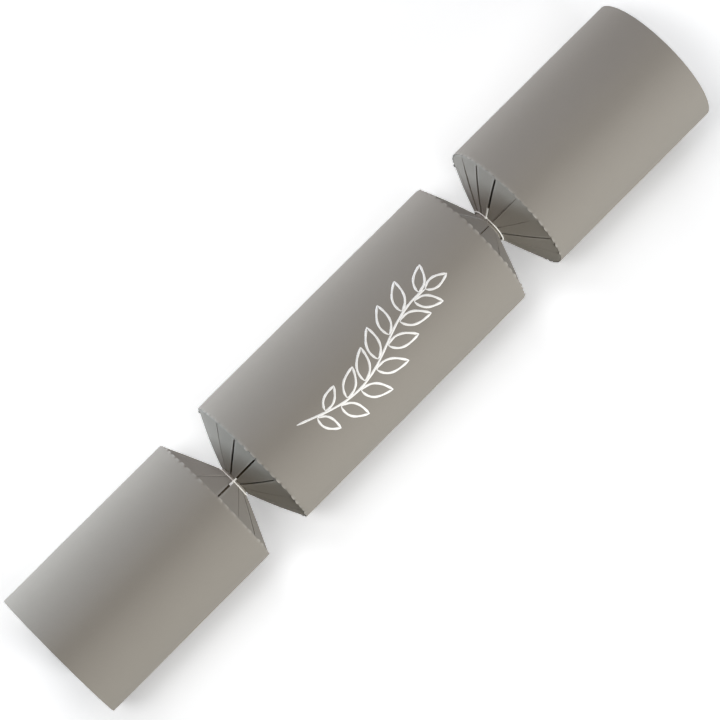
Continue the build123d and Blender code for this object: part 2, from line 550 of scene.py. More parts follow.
MOTTO = PaperFinish("motto_paper", (0.84, 0.83, 0.80), (0.88, 0.87, 0.85), fibre=0.04)
THREAD = ThreadFinish("white_cotton", (0.95, 0.945, 0.925), (0.76, 0.74, 0.71))
POWDER = GrainFinish("pressed_powder", (0.16, 0.155, 0.15), (0.52, 0.51, 0.49), 0.18 * MM, 0.03 * MM)
GRIT = GrainFinish("bonded_grit", (0.05, 0.035, 0.03), (0.24, 0.18, 0.15), 0.35 * MM, 0.08 * MM)
PAINT = PaintFinish("white_paint")
FLOOR = FloorFinish("white_sweep")


# Meshes


@dataclass
class Surface:
    """The points and faces of a piece that is being made, with how pale each point is from fraying and from
    painted highlight.
    """

    points: list[Vector] = field(default_factory=list)
    faces: list[tuple[int, ...]] = field(default_factory=list)
    wear_and_highlight: list[float] = field(default_factory=list)

    def point(self, place: Vector, wear_and_highlight: float = 0.0) -> int:
        """Add a point.

        Args:
            place: Where it is.
            wear_and_highlight: How pale the sheet is there, from fraying and from painted highlight, from 0
                to 1.

        Returns:
            The point's number.
        """
        self.points.append(place)
        self.wear_and_highlight.append(wear_and_highlight)
        return len(self.points) - 1

    def strip(self, first: Sequence[int], second: Sequence[int], closed: bool = False) -> None:
        """Join two rows of points with faces.

        Args:
            first: The numbers of one row.
            second: The numbers of the next row.
            closed: Whether the row's end joins its start.
        """
        count = len(first)
        for number in range(count if closed else count - 1):
            after = (number + 1) % count
            self.faces.append((first[number], first[after], second[after], second[number]))

    def tube(
        self, path: Sequence[Vector], radius: Callable[[float], float], sides: int, closed: bool
    ) -> None:
        """Add a round tube along a path.

        Args:
            path: The tube's middle line.
            radius: The tube's radius by the share of its length.
            sides: How many points go round it.
            closed: Whether its end joins its start.
        """
        rings = []
        across = None
        for number, place in enumerate(path):
            before = path[number - 1] if number or closed else place
            after = path[(number + 1) % len(path)] if number + 1 < len(path) or closed else place
            ahead = (after - before).normalized()
            if across is None:
                across = ahead.orthogonal().normalized()
            across = (across - ahead * across.dot(ahead)).normalized()
            other = ahead.cross(across)
            reach = radius(number / (len(path) - 1))
            angles = [2.0 * math.pi * side / sides for side in range(sides)]
            ring = [place + (across * math.cos(a) + other * math.sin(a)) * reach for a in angles]
            rings.append([self.point(spot) for spot in ring])
        for first, second in zip(rings, rings[1:]):
            self.strip(first, second, closed=True)
        if closed:
            self.strip(rings[-1], rings[0], closed=True)
        else:
            self.faces.append(tuple(reversed(rings[0])))
            self.faces.append(tuple(rings[-1]))

    def build(self, name: str, finish: Finish, thickness: float = 0.0) -> bpy.types.Object:
        """Make the piece.

        Args:
            name: The piece's name.
            finish: What it is dressed in.
            thickness: How far a sheet is thickened inwards, or 0 for a piece that is already closed.

        Returns:
            The new object.
        """
        mesh = bpy.data.meshes.new(name)
        mesh.from_pydata(self.points, [], self.faces)
        # The paling at each point, from fraying and from painted highlight, goes to the finish as a point
        # attribute.
        mesh.attributes.new("wear_and_highlight", "FLOAT", "POINT").data.foreach_set("value", self.wear_and_highlight)
        mesh.materials.append(finish.material())
        piece = bpy.data.objects.new(name, mesh)
        bpy.context.scene.collection.objects.link(piece)
        if thickness:
            wall = piece.modifiers.new("wall", "SOLIDIFY")
            wall.thickness = thickness
            wall.offset = -1.0
            sheet = piece.evaluated_get(bpy.context.evaluated_depsgraph_get())
            thick = bpy.data.meshes.new_from_object(sheet)
            piece.modifiers.clear()
            piece.data = thick
            bpy.data.meshes.remove(mesh)
            thick.name = name
        piece.data.shade_smooth()
        piece.data.set_sharp_from_angle(angle=SHARP_ANGLE)
        return piece


def settle(piece: bpy.types.Object, body: str, slot: Slot, node: str) -> None:
    """Join a piece to the frame.

    Args:
        piece: The new piece.
        body: The body that it moves with.
        slot: Not used.
        node: The solid that it stands for.
    """
    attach(piece, body)
    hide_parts(node)
    LOG.info("%s rides on %s", piece.name, body)


def dress(node: str, finish: Finish) -> None:
    """Give a solid of the frame its finish.

    Args:
        node: The solid's name.
        finish: What it is dressed in.
    """
    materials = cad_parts[node].data.materials
    materials.clear()
    materials.append(finish.material())
    LOG.info("%s is dressed in %s", node, finish.name)


def about_axis(x: float, turn: float, radius: float, axis: float) -> Vector:
    """Give a point by its turn and radius about the cracker's axis.

    Args:
        x: The place along the cracker.
        turn: The angle from the top, towards -Y.
        radius: The distance from the axis.
        axis: The height of the axis.

    Returns:
        The point.
    """
    return Vector((x, -radius * math.sin(turn), axis + radius * math.cos(turn)))


# Sub-assemblies


@dataclass
class Barrel:
    """A barrel of rolled card, glued along a flat lap below, with nicked creases beside the necks."""

    node: str
    body: str
    creased: tuple[bool, bool]
    seed: int
    card: float = 0.45 * MM
    lap_width: float = 14.0 * MM
    seam_gap: float = 1.0 * MM
    flap_floor: float = 0.55 * MM
    flap_setback: float = 2.0 * MM
    step: float = 0.4 * MM
    bend_reach: float = 3.0 * MM
    bend_passes: int = 40
    wave_length: float = 22.0 * MM
    wave_height: float = 0.09 * MM
    wave_round: float = 1.6
    calm_turns: tuple[float, float] = (math.radians(120.0), math.radians(155.0))
    nick_pitch: float = 3.175 * MM
    nick_limit: int = 80
    nick_jitter: float = 0.22
    jitter_nicks: float = 1.7
    jitter_apart: float = 5.0
    tooth_sizes: tuple[float, float] = (0.15, 1.0)
    tooth_shoulder: tuple[float, float] = (0.45, 0.8)
    tooth_reach: float = 0.34 * MM
    tear_sizes: tuple[float, float] = (0.1, 1.0)
    tear_power: float = 1.3
    tear_gain: float = 1.1
    # Each nick is paled at least this much: a painted highlight where its cut edge catches light, together
    # with its pale cut fibres.
    least_nick_wear_and_highlight: float = 0.25
    bridge_setback: float = 0.08 * MM
    bridge_drop: float = 0.28 * MM
    crease_wander: float = 0.3 * MM
    wander_length: float = 11.0 * MM
    fold_depth: float = 1.0 * MM
    fold_rows: tuple[float, ...] = (0.0, 0.15, 0.35, 0.6, 1.0, 1.8, 3.2)
    row_spacing: float = 6.0 * MM

    def __post_init__(self) -> None:
        """Read the barrel's place from the frame, and draw its nicks."""
        low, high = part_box(self.node)
        self.ends = (low[0], high[0])
        self.radius = (high[1] - low[1]) / 2.0
        self.axis = high[2] - self.radius
        chance = random.Random(self.seed)
        nicks = range(self.nick_limit)
        self.teeth = [[chance.uniform(*self.tooth_sizes) for _ in nicks] for _ in self.ends]
        self.tears = [
            [chance.uniform(*self.tear_sizes) ** self.tear_power for _ in nicks] for _ in self.ends
        ]
        self.phases = [chance.random() for _ in self.ends]

    def wave(self, x: float, turn: float) -> float:
        """Give how far the rolled card stands off a true cylinder, less and less towards the lap.

        Args:
            x: The place along the barrel.
            turn: The angle from the top.

        Returns:
            The height, outwards.
        """
        across = self.wave_round * math.sin(turn)
        up = self.wave_round * math.cos(turn)
        free = 1.0 - smooth_step(*self.calm_turns, abs(turn))
        spot = Vector((x / self.wave_length, across, up + self.seed))
        return self.wave_height * free * noise.noise(spot)

    def skin(self, x: float, turn: float, lift: float = 0.0) -> Vector:
        """Give a point on the card's outside, or lifted off it."""
        return about_axis(x, turn, self.radius + self.wave(x, turn) + lift, self.axis)

    def section(self) -> list[tuple[float, float]]:
        """Lay out the outside of the sheet across the barrel: the lap, the round and the flap inside.

        Returns:
            Places across and up, with the bends eased.
        """
        half = self.lap_width / 2.0
        start = -math.pi + math.asin(half / self.radius)
        stop = math.acos((self.flap_floor - self.axis) / self.radius)
        inside = -math.sin(stop) * self.radius
        spans = (
            (half + half - self.seam_gap, lambda s: (s - half + self.seam_gap, 0.0)),
            (self.radius * (stop - start), lambda s: self.round_place(start + s / self.radius)),
            (half - self.flap_setback - inside, lambda s: (inside + s, self.flap_floor)),
        )
        places = []
        corners = []
        for length, place in spans:
            count = round(length / self.step)
            places += [place(length * number / count) for number in range(count)]
            corners.append(len(places))
        places.append((half - self.flap_setback, self.flap_floor))
        reach = round(self.bend_reach / self.step)
        for _ in range(self.bend_passes):
            for corner in corners[:2]:
                for number in range(corner - reach, corner + reach):
                    sides = zip(places[number - 1], places[number + 1])
                    places[number] = tuple((before + after) / 2.0 for before, after in sides)
        return places

    def round_place(self, turn: float) -> tuple[float, float]:
        """Give the place across and up at a turn of the true cylinder."""
        return (-self.radius * math.sin(turn), self.axis + self.radius * math.cos(turn))

    def tooth(self, end: int, along: float) -> float:
        """Give how much of a cut nick there is at a place round the crease.

        Args:
            end: 0 for the left end, 1 for the right.
            along: The distance round the sheet.

        Returns:
            0 on an uncut bridge, up to 1 on a nick.
        """
        count = self.nick_count(end, along)
        off_middle = abs(count % 1.0 - 0.5) * 2.0
        return self.teeth[end][int(count)] * (1.0 - smooth_step(*self.tooth_shoulder, off_middle))

    def nick_count(self, end: int, along: float) -> float:
        """Count the nicks up to a place round the crease, which are cut a little unevenly.

        Args:
            end: 0 for the left end, 1 for the right.
            along: The distance round the sheet.

        Returns:
            The count, with its part of a nick.
        """
        length = self.jitter_nicks * self.nick_pitch
        spot = Vector((along / length, self.seed, end + self.jitter_apart))
        return along / self.nick_pitch + self.phases[end] + 1.0 + self.nick_jitter * noise.noise(spot)

    def fray(self, end: int, along: float) -> float:
        """Give how much a nick's cut edge is torn to pale fibres."""
        return self.tears[end][int(self.nick_count(end, along))]

    def rows(self) -> list[tuple[int, float]]:
        """List the rows along the barrel, close together at a crease.

        Returns:
            For each row the end that it is counted from and its depth into the barrel.
        """
        close = [share * self.fold_depth for share in self.fold_rows]
        length = self.ends[1] - self.ends[0]
        count = round((length - 2.0 * close[-1]) / self.row_spacing)
        step = (length - 2.0 * close[-1]) / count
        middle = [(0, close[-1] + step * number) for number in range(1, count)]
        return [(0, depth) for depth in close] + middle + [(1, depth) for depth in reversed(close)]

    def build(self) -> bpy.types.Object:
        """Make the barrel and join it to the frame.

        Returns:
            The barrel.
        """
        sheet = Surface()
        section = self.section()
        lengths = [0.0]
        for before, after in zip(section, section[1:]):
            lengths.append(lengths[-1] + math.dist(before, after))
        previous = None
        for end, depth in self.rows():
            row = []
            for number, (across, up) in enumerate(section):
                before = section[max(number - 1, 0)]
                after = section[min(number + 1, len(section) - 1)]
                ahead = Vector((after[0] - before[0], after[1] - before[1])).normalized()
                outward = Vector((ahead.y, -ahead.x))
                x, drop, wear_and_highlight = self.edge(end, depth, lengths[number])
                turn = math.atan2(-across, up - self.axis)
                lift = self.wave(x, turn) - drop
                place = Vector((x, across + outward.x * lift, up + outward.y * lift))
                row.append(sheet.point(place, wear_and_highlight))
            if previous:
                sheet.strip(previous, row)
            previous = row
        piece = sheet.build(f"{self.node}_card", CARD, self.card)
        settle(piece, self.body, Slot.CARD, self.node)
        return piece

    def edge(self, end: int, depth: float, along: float) -> tuple[float, float, float]:
        """Shape the card beside an end: nicks stand out straight, and bridges bend into the neck.

        Args:
            end: 0 for the left end, 1 for the right.
            depth: The distance into the barrel.
            along: The distance round the sheet.

        Returns:
            The place along X, the drop towards the axis and the paling: pale torn fibres and a painted
            highlight where a nick's edge catches light.
        """
        inward = 1.0 - 2.0 * end
        if not self.creased[end]:
            return self.ends[end] + inward * depth, 0.0, 0.0
        near = max(1.0 - depth / self.fold_depth, 0.0)
        tooth = self.tooth(end, along)
        wander = self.crease_wander * noise.noise(Vector((along / self.wander_length, self.seed, end)))
        reach = self.tooth_reach * tooth - self.bridge_setback * (1.0 - tooth) + wander
        drop = self.bridge_drop * (1.0 - tooth) * near**2
        # Pale nicks: torn fibres paled at random, over a painted highlight where each nick's edge catches
        # light.
        wear_and_highlight = min(1.0, self.least_nick_wear_and_highlight + self.tear_gain * self.fray(end, along)) * tooth * near**2
        return self.ends[end] + inward * (depth - reach * near), drop, wear_and_highlight


@dataclass(frozen=True)
class Slit:
    """How one slit between petals lies open."""

    width: float
    taper: float = 0.1
    start: float = 0.024
    ease: float = 0.03
    dot: bool = False
    dot_width: float = 0.55 * MM
    dot_rise: tuple[float, float] = (0.0, 0.012)
    dot_fall: tuple[float, float] = (0.02, 0.034)

    def gap(self, share: float) -> float:
        """Give the slit's width at a place along the petal.

        Args:
            share: The share of the petal's length, from the crease.

        Returns:
            The width.
        """
        if share > self.start:
            opened = (share - self.start) / (1.0 - self.start)
            return self.width * smooth_step(0.0, self.ease, opened) * opened**self.taper
        if not self.dot:
            return 0.0
        left = 1.0 - smooth_step(*self.dot_fall, share)
        return self.dot_width * smooth_step(*self.dot_rise, share) * left


@dataclass
class PetalCone:
    """One cone of card petals, folded in from a crease to a waist."""

    node: str
    body: str
    barrel: Barrel
    end: int
    waist: float
    opened: dict[int, Slit]
    seed: int
    petal_count: int = 16
    columns: int = 8
    root_sink: float = 0.5 * MM
    root_reach: float = 0.7 * MM
    root_rows: tuple[float, ...] = (1.0, 0.45)
    fold_rows: tuple[float, ...] = (
        0.0, 0.006, 0.012, 0.018, 0.024, 0.03, 0.036, 0.044, 0.05, 0.056, 0.064, 0.075, 0.09
    )
    plain_rows: int = 22
    lap_height: float = 1.05 * MM
    tip_radius: float = 6.45 * MM
    tip_gap: float = 0.35 * MM
    bow: float = 0.14
    bow_vary: tuple[float, float] = (0.75, 1.25)
    flatness: float = 0.55
    flat_power: float = 0.5
    lift: float = 0.18 * MM
    lift_ease: tuple[float, float] = (0.05, 0.4)
    shut_width: float = 0.1 * MM
    shut_vary: tuple[float, float] = (0.6, 1.4)
    # A painted highlight along the fold at each petal's root.
    fold_highlight: float = 0.25
    fold_highlight_share: float = 0.05
    # A painted highlight along the lit cut edges of open slits.
    cut_edge_highlight: float = 0.4
    cut_edge_highlight_widths: tuple[float, float] = (0.35 * MM, 0.7 * MM)
    collar: Sequence[tuple[float, float]] = ()
    collar_margin: float = 0.01

    def __post_init__(self) -> None:
        """Work out the cone's slope and how each petal and slit lies, and start its sheet."""
        self.crease = self.barrel.ends[self.end]
        self.away = math.copysign(1.0, self.waist - self.crease)
        self.run = abs(self.waist - self.crease) - self.tip_gap
        self.root_radius = self.barrel.radius - self.root_sink
        chance = random.Random(self.seed)
        petals = range(self.petal_count)
        self.bows = [self.bow * chance.uniform(*self.bow_vary) for _ in petals]
        self.tilts = [self.lift * chance.uniform(-1.0, 1.0) for _ in petals]
        shut = [Slit(self.shut_width * chance.uniform(*self.shut_vary)) for _ in petals]
        self.slits = [self.opened.get(self.signed(number), shut[number]) for number in petals]
        self.turn_step = 2.0 * math.pi / self.petal_count
        self.sheet = Surface()
        self.joins: dict[tuple[int, int], int] = {}

    def signed(self, number: int) -> int:
        """Count a slit from the top, positive towards -Y."""
        return number if number <= self.petal_count // 2 else number - self.petal_count

    def root(self, turn: float) -> float:
        """Give the fold's radius at a turn, which is less above the flat lap."""
        lap = self.barrel.axis - self.lap_height
        return lap / -math.cos(turn) if self.root_radius * -math.cos(turn) > lap else self.root_radius

    def shares(self) -> list[float]:
        """List the rows along a petal, as shares of its length, close together at the crease.

        Returns:
            The shares.
        """
        start = self.fold_rows[-1]
        step = (1.0 - start) / self.plain_rows
        return [*self.fold_rows, *(start + step * number for number in range(1, self.plain_rows + 1))]

    def place(self, share: float, turn: float, bow: float, lift: float = 0.0) -> Vector:
        """Give a point on the cone.

        Args:
            share: The share of the petal's length, from the crease.
            turn: The angle from the top.
            bow: How much the petal bows outwards.
            lift: How far the point stands off the cone.

        Returns:
            The point.
        """
        rise = self.root(turn) - self.tip_radius
        slope = math.hypot(rise, self.run)
        along = self.run * (share + bow * share * (1.0 - share)) + lift * rise / slope
        radius = self.tip_radius + rise * (1.0 - share) + lift * self.run / slope
        return about_axis(self.crease + self.away * along, turn, radius, self.barrel.axis)

    def build(self) -> bpy.types.Object:
        """Make the cone and join it to the frame.

        Returns:
            The cone of petals.
        """
        for petal in range(self.petal_count):
            rows = []
            for number, depth in enumerate(self.root_rows, -len(self.root_rows)):
                rows.append(self.root_row(petal, number, depth))
            for number, share in enumerate(self.shares()):
                rows.append(self.petal_row(petal, number, share))
            rows += [self.collar_row(petal, *ring) for ring in self.collar]
            for first, second in zip(rows, rows[1:]):
                if self.away > 0.0:
                    self.sheet.strip(first, second)
                else:
                    self.sheet.strip(second, first)
        piece = self.sheet.build(f"{self.node}_card", CARD, self.barrel.card)
        settle(piece, self.body, Slot.CARD, self.node)
        return piece

    def root_row(self, petal: int, number: int, depth: float) -> list[int]:
        """Add a row of the fold's root, which lies inside the barrel's edge.

        Args:
            petal: The petal's number.
            number: The row's number.
            depth: The share of the root's reach into the barrel.

        Returns:
            The numbers of the row's points.
        """
        row = []
        for column in range(self.columns + 1):
            turn = self.turn_step * (petal + column / self.columns)
            along = self.crease - self.away * self.root_reach * depth
            spot = about_axis(along, turn, self.root(turn), self.barrel.axis)
            row.append(self.joined_point(spot, petal, column, number, True, 0.0))
        return row

    def petal_row(self, petal: int, number: int, share: float) -> list[int]:
        """Add a row across one petal.

        Args:
            petal: The petal's number.
            number: The row's number.
            share: The row's share of the petal's length.

        Returns:
            The numbers of the row's points.
        """
        after = (petal + 1) % self.petal_count
        radius = self.root_radius + (self.tip_radius - self.root_radius) * share
        gaps = [self.slits[slit].gap(share) for slit in (petal, after)]
        low = self.turn_step * petal + gaps[0] / 2.0 / radius
        high = self.turn_step * (petal + 1) - gaps[1] / 2.0 / radius
        # Painted highlight along the fold near the crease.
        fold_highlight = self.fold_highlight * (1.0 - smooth_step(0.0, self.fold_highlight_share, share))
        row = []
        for column in range(self.columns + 1):
            across = column / self.columns
            turn = low + (high - low) * across
            off = turn - self.turn_step * (petal + 0.5)
            chord = radius * (1.0 - math.cos(self.turn_step / 2.0) / math.cos(off))
            flat = -self.flatness * share**self.flat_power * chord
            flat *= self.run / math.hypot(self.run, radius)
            tilt = self.tilts[petal] * (2.0 * across - 1.0) * smooth_step(*self.lift_ease, share)
            spot = self.place(share, turn, self.bows[petal], flat + tilt)
            gap = gaps[0 if column == 0 else 1]
            wear_and_highlight = fold_highlight
            if column in (0, self.columns):
                if gap == 0.0:
                    spot = self.place(share, turn, self.bow)
                else:
                    # Painted highlight on the lit cut edge of an open slit.
                    wear_and_highlight = self.cut_edge_highlight * smooth_step(*self.cut_edge_highlight_widths, gap)
            row.append(self.joined_point(spot, petal, column, number, gap == 0.0, wear_and_highlight))
        return row

    def collar_row(self, petal: int, past: float, radius: float) -> list[int]:
        """Add a row of the card that goes on through the waist, under the tie.

        Args:
            petal: The petal's number.
            past: How far the row lies past the waist.
            radius: The row's radius.

        Returns:
            The numbers of the row's points.
        """
        width = 1.0 - 2.0 * self.collar_margin
        row = []
        for column in range(self.columns + 1):
            turn = self.turn_step * (petal + self.collar_margin + width * column / self.columns)
            spot = about_axis(self.waist + self.away * past, turn, radius, self.barrel.axis)
            row.append(self.sheet.point(spot))
        return row

    def joined_point(
        self, spot: Vector, petal: int, column: int, number: int, joined: bool, wear_and_highlight: float
    ) -> int:
        """Add a point, or give the neighbour's point where two petals are still joined.

        Args:
            spot: The place of the point.
            petal: The petal's number.
            column: The point's column across the petal.
            number: The row's number.
            joined: Whether the slit beside this column is shut in this row.
            wear_and_highlight: The painted highlight at the point.

        Returns:
            The point's number.
        """
        if not joined or column not in (0, self.columns):
            return self.sheet.point(spot, wear_and_highlight)
        slit = (petal + (1 if column else 0)) % self.petal_count
        if (slit, number) not in self.joins:
            self.joins[slit, number] = self.sheet.point(spot, wear_and_highlight)
        return self.joins[slit, number]


@dataclass
class Tie:
    """The thread that draws a neck in: a two-ply loop, a knot and its trimmed ends."""

    side: Side
    cone: PetalCone
    knot_slit: int
    tail_back: float
    tail_length: float
    loop_shift: float = 0.4 * MM
    ply_radius: float = 0.15 * MM
    ply_offset: float = 0.11 * MM
    ply_pitch: float = 1.5 * MM
    ply_sides: int = 8
    steps_per_twist: int = 10
    knot_radius: float = 0.34 * MM
    knot_lift: float = 0.22 * MM
    knot_swell: float = 0.16 * MM
    knot_stretch: float = 1.15
    knot_strand: float = 1.25
    knot_steps: int = 72
    tail_spread: float = 0.2 * MM
    tail_spread_start: float = 0.4
    tail_lift: float = 0.3 * MM
    tail_over: float = 0.45 * MM
    tail_slant: float = 0.87
    tail_rise: float = 0.5
    tail_share: float = 0.955
    tail_blend: tuple[float, float] = (-0.3 * MM, 0.5 * MM)
    tail_tip: float = 0.45
    tip_power: int = 3
    tail_steps: int = 40

    def __post_init__(self) -> None:
        """Read the loop's place from the frame."""
        self.node = f"{self.side.word}_tie_thread"
        low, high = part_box(self.node)
        self.axis = self.cone.barrel.axis
        self.loop_radius = (high[1] - low[1]) / 2.0 - self.ply_radius - self.ply_offset
        self.loop_place = self.cone.waist + self.side.value * self.loop_shift
        self.knot_turn = self.cone.turn_step * self.knot_slit

    def plies(
        self, surface: Surface, path: Sequence[Vector], closed: bool, end_share: float = 1.0
    ) -> None:
        """Wind two plies about a path.

        Args:
            surface: The surface that takes them.
            path: The thread's middle line, evenly stepped.
            closed: Whether the path is a loop.
            end_share: The size of the free end, against the size of the thread.
        """
        length = sum((after - before).length for before, after in zip(path, path[1:]))
        twists = max(round(length / self.ply_pitch), 1)
        for ply in range(2):
            wound = []
            for number, place in enumerate(path):
                ahead = (path[(number + 1) % len(path)] - place).normalized()
                if not closed and number + 1 == len(path):
                    ahead = (place - path[number - 1]).normalized()
                out = Vector((0.0, place.y, place.z - self.axis)).normalized()
                side = ahead.cross(out).normalized()
                angle = 2.0 * math.pi * (twists * number / len(path) + ply / 2.0)
                wound.append(place + (out * math.sin(angle) + side * math.cos(angle)) * self.ply_offset)
            surface.tube(
                wound,
                lambda share: self.ply_radius * (1.0 + (end_share - 1.0) * share**self.tip_power),
                self.ply_sides,
                closed,
            )

    def loop(self) -> list[Vector]:
        """Lay out the loop round the waist.

        Returns:
            The loop's middle line.
        """
        count = round(2.0 * math.pi * self.loop_radius / self.ply_pitch) * self.steps_per_twist
        turns = [2.0 * math.pi * number / count for number in range(count)]
        return [about_axis(self.loop_place, turn, self.loop_radius, self.axis) for turn in turns]

    def knot(self) -> list[Vector]:
        """Lay out a small overhand knot on the loop.

        Returns:
            The knot's middle line.
        """
        middle = about_axis(self.loop_place, self.knot_turn, self.loop_radius + self.knot_lift, self.axis)
        out = Vector((0.0, -math.sin(self.knot_turn), math.cos(self.knot_turn)))
        along = Vector((1.0, 0.0, 0.0))
        round_loop = along.cross(out)
        places = []
        for number in range(self.knot_steps):
            angle = 2.0 * math.pi * number / self.knot_steps
            reach = self.knot_radius * (2.0 + math.cos(3.0 * angle)) / 3.0
            flat = round_loop * math.cos(2.0 * angle) * self.knot_stretch + along * math.sin(2.0 * angle)
            places.append(middle + flat * reach + out * math.sin(3.0 * angle) * self.knot_swell)
        return places

    def tail(self, lean: float) -> list[Vector]:
        """Lay out one trimmed end, from just past the loop up the slit of the outer cone.

        Args:
            lean: How far the end lies to one side of the slit.

        Returns:
            The end's middle line.
        """
        slope = math.hypot(self.cone.run, self.cone.root_radius - self.cone.tip_radius)
        across = Vector((0.0, -math.cos(self.knot_turn), -math.sin(self.knot_turn)))
        over = self.loop_radius + self.tail_over
        places = []
        for number in range(self.tail_steps + 1):
            along = -self.tail_back + (self.tail_back + self.tail_length) * number / self.tail_steps
            x = self.loop_place + self.side.value * self.tail_slant * along
            back = about_axis(x, self.knot_turn, over + self.tail_rise * max(-along, 0.0), self.axis)
            share = self.tail_share - max(along, 0.0) / slope
            up = self.cone.place(share, self.knot_turn, self.cone.bow, self.tail_lift)
            parted = smooth_step(0.0, self.tail_length, abs(along))
            spread = lean * (self.tail_spread_start + (1.0 - self.tail_spread_start) * parted)
            places.append(back.lerp(up, smooth_step(*self.tail_blend, along)) + across * spread)
        return places

    def build(self) -> bpy.types.Object:
        """Make the tie and join it to the frame.

        Returns:
            The tie.
        """
        thread = Surface()
        self.plies(thread, self.loop(), closed=True)
        strand = self.knot_strand * self.ply_radius
        thread.tube(self.knot(), lambda share: strand, self.ply_sides, closed=True)
        for lean in (-self.tail_spread, self.tail_spread):
            self.plies(thread, self.tail(lean), closed=False, end_share=self.tail_tip)
        piece = thread.build(f"{self.side.word}_tie_cotton", THREAD)
        settle(piece, f"{self.side.word}_end", Slot.THREAD, self.node)
        return piece


@dataclass
class Neck:
    """A tied neck: the cone of the middle barrel, the cone of an end barrel, and their tie."""

    side: Side
    middle: Barrel
    end: Barrel
    inner_slits: dict[int, Slit]
    outer_slits: dict[int, Slit]
    knot_slit: int
    tail_back: float
    tail_length: float
    seed: int
    inner_tip_gap: float = 0.6 * MM
    outer_collar: tuple[tuple[float, float], ...] = (
        (0.0, 5.95 * MM),
        (0.5 * MM, 5.8 * MM),
        (1.4 * MM, 5.8 * MM),
    )

    def build(self) -> None:
        """Make the two cones and the tie between them."""
        word = self.side.word
        near = 0 if self.side is Side.LEFT else 1
        waist = (self.middle.ends[near] + self.end.ends[1 - near]) / 2.0
        inner = PetalCone(
            f"{word}_inner_petals",
            "centre",
            self.middle,
            near,
            waist,
            self.inner_slits,
            self.seed,
            tip_gap=self.inner_tip_gap,
        )
        outer = PetalCone(
            f"{word}_outer_petals",
            f"{word}_end",
            self.end,
            1 - near,
            waist,
            self.outer_slits,
            self.seed + 1,
            collar=self.outer_collar,
        )
        inner.build()
        outer.build()
        Tie(self.side, outer, self.knot_slit, self.tail_back, self.tail_length).build()


@dataclass
class Roll:
    """A sheet of thin paper rolled on itself inside the space of a solid."""

    node: str
    finish: PaperFinish
    slot: Slot
    turns: int
    core: float
    paper: float
    points: int
    point_depth: float
    crumple: float
    seed: int
    crumple_length: float = 7.0 * MM
    crumple_round: float = 1.4
    edge_wear: float = 0.3
    steps_per_turn: int = 72
    calm_steps: int = 30
    rows: int = 26

    def build(self) -> bpy.types.Object:
        """Make the roll and join it to the frame.

        Returns:
            The roll.
        """
        low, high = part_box(self.node)
        middle = (low + high) / 2.0
        outside = min(high[1] - low[1], high[2] - low[2]) / 2.0 - self.crumple - self.paper
        sheet = Surface()
        steps = self.steps_per_turn * self.turns
        previous = None
        for row in range(self.rows + 1):
            share = row / self.rows
            wear_and_highlight = self.edge_wear if row in (0, self.rows) else 0.0
            line = []
            for number in range(steps + 1):
                turn = 2.0 * math.pi * number / self.steps_per_turn
                radius = self.core + (outside - self.core) * number / steps
                saw = abs((number * self.points / steps) % 1.0 - 0.5) * 2.0
                length = high[0] - low[0] - self.point_depth * saw
                x = low[0] + length * share
                across = self.crumple_round * math.cos(turn)
                up = self.crumple_round * math.sin(turn)
                spot = Vector((x / self.crumple_length, across + self.seed, up))
                radius += self.crumple * noise.noise(spot) * min(1.0, number / self.calm_steps)
                place = (x, middle[1] + radius * math.cos(turn), middle[2] + radius * math.sin(turn))
                line.append(sheet.point(Vector(place), wear_and_highlight))
            if previous:
                sheet.strip(previous, line)
            previous = line
        piece = sheet.build(f"{self.node}_sheet", self.finish, self.paper)
        settle(piece, "centre", self.slot, self.node)
        return piece


@dataclass
class Contents:
    """What lies in the middle barrel: the crown in its band, the motto and two dice."""

    def build(self) -> None:
        """Make the rolls and dress the band and the dice."""
        Roll(
            "paper_crown",
            TISSUE,
            Slot.TISSUE,
            turns=7,
            core=1.2 * MM,
            paper=0.12 * MM,
            points=8,
            point_depth=14.0 * MM,
            crumple=0.25 * MM,
            seed=5,
        ).build()
        Roll(
            "motto_slip",
            MOTTO,
            Slot.MOTTO,
            turns=4,
            core=1.6 * MM,
            paper=0.1 * MM,
            points=1,
            point_depth=0.0,
            crumple=0.04 * MM,
            seed=9,
        ).build()
        dress("crown_band", BAND)
        for node in ("first_gift_die", "second_gift_die"):
            low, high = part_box(node)
            middle = (low + high) / 2.0
            dress(node, DieFinish(f"{node}_ivory", tuple(middle), (high[0] - low[0]) / 2.0))


@dataclass
class Snap:
    """The two strips of the snap, their patches and the wrapper round the lap."""

    def build(self) -> None:
        """Dress the snap's solids."""
        for side in Side:
            dress(f"{side.word}_snap_strip", SNAP_BOARD)
        dress("snap_compound", POWDER)
        dress("snap_grit", GRIT)
        dress("snap_sleeve", SNAP_PAPER)


